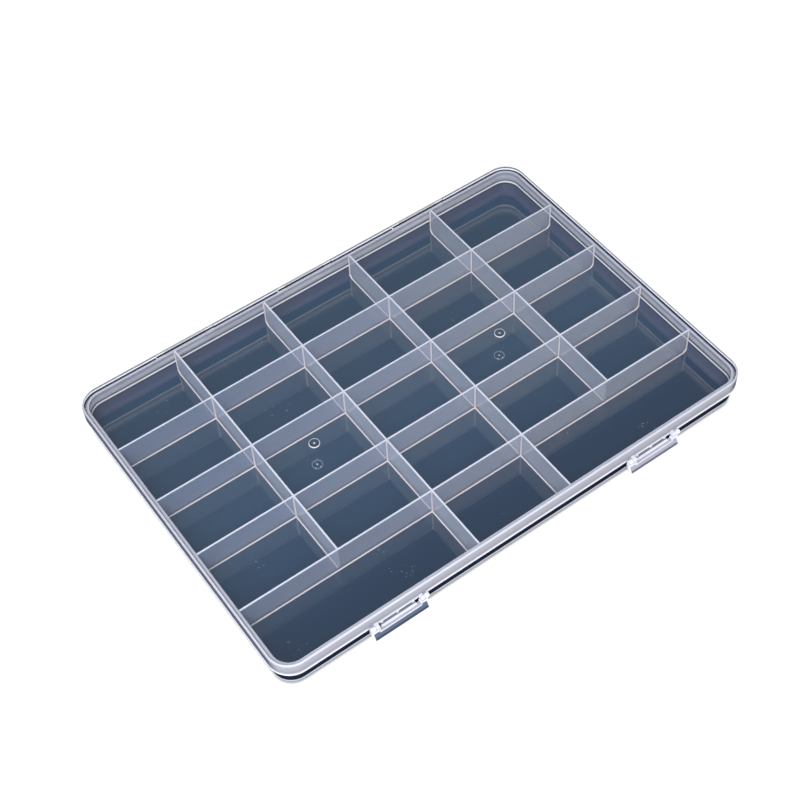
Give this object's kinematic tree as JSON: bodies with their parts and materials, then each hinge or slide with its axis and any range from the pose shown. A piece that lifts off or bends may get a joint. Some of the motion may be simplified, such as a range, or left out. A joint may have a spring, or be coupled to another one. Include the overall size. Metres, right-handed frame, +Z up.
{
  "type": "bead organizer box",
  "caption": "Flat clear plastic bead organizer: a tray of fixed compartments under one common lid, hinged at the back and held by swing latches at the front.",
  "frame": {"origin": "centre of the tray's flat underside, on the surface the box stands on", "axes": "+X along the long side to the right as seen from the latches, +Y from the latches towards the hinges, +Z up through the lid"},
  "size_m": [0.2652, 0.1901, 0.019],
  "materials": {
    "smoke_floor": "gloss",
    "clear_wall": "gloss",
    "milky_divider": "satin",
    "clear_lid": "gloss",
    "clear_latch": "gloss"
  },
  "bodies": {
    "tray": {"tray_floor": "smoke_floor", "tray_wall_front": "clear_wall", "tray_wall_back": "clear_wall", "tray_wall_left": "clear_wall", "tray_wall_right": "clear_wall", "tray_wall_corners": "clear_wall", "tray_flange_front": "clear_wall", "tray_flange_back": "clear_wall", "tray_flange_left": "clear_wall", "tray_flange_right": "clear_wall", "tray_flange_corners": "clear_wall", "latch_catch_left": "clear_wall", "latch_catch_right": "clear_wall", "row_divider_1": "milky_divider", "row_divider_2": "milky_divider", "row_divider_3": "milky_divider", "row_divider_4": "milky_divider", "column_divider_1": "milky_divider", "column_divider_2": "milky_divider", "column_divider_3": "milky_divider", "column_divider_4": "milky_divider", "hinge_lugs_left": "clear_wall", "hinge_lugs_middle": "clear_wall", "hinge_lugs_right": "clear_wall"},
    "lid": {"lid_panel": "clear_lid", "lid_skirt_front": "clear_lid", "lid_skirt_back": "clear_lid", "lid_skirt_left": "clear_lid", "lid_skirt_right": "clear_lid", "lid_skirt_corners": "clear_lid", "hinge_knuckle_left": "clear_lid", "hinge_knuckle_middle": "clear_lid", "hinge_knuckle_right": "clear_lid", "latch_lugs_left": "clear_lid", "latch_lugs_right": "clear_lid"},
    "left_latch": {"latch_left": "clear_latch"},
    "right_latch": {"latch_right": "clear_latch"}
  },
  "joints": [
    {"name": "lid_hinge", "type": "hinge", "parent": "tray", "child": "lid", "pos_m": [0, 0.0927, 0.0104], "axis": [-1, 0, 0], "range_deg": [0, 180]},
    {"name": "left_latch_hinge", "type": "hinge", "parent": "lid", "child": "left_latch", "pos_m": [-0.0728, -0.09335, 0.0118], "axis": [-1, 0, 0], "range_deg": [0, 110]},
    {"name": "right_latch_hinge", "type": "hinge", "parent": "lid", "child": "right_latch", "pos_m": [0.0728, -0.09335, 0.0118], "axis": [-1, 0, 0], "range_deg": [0, 110]}
  ]
}
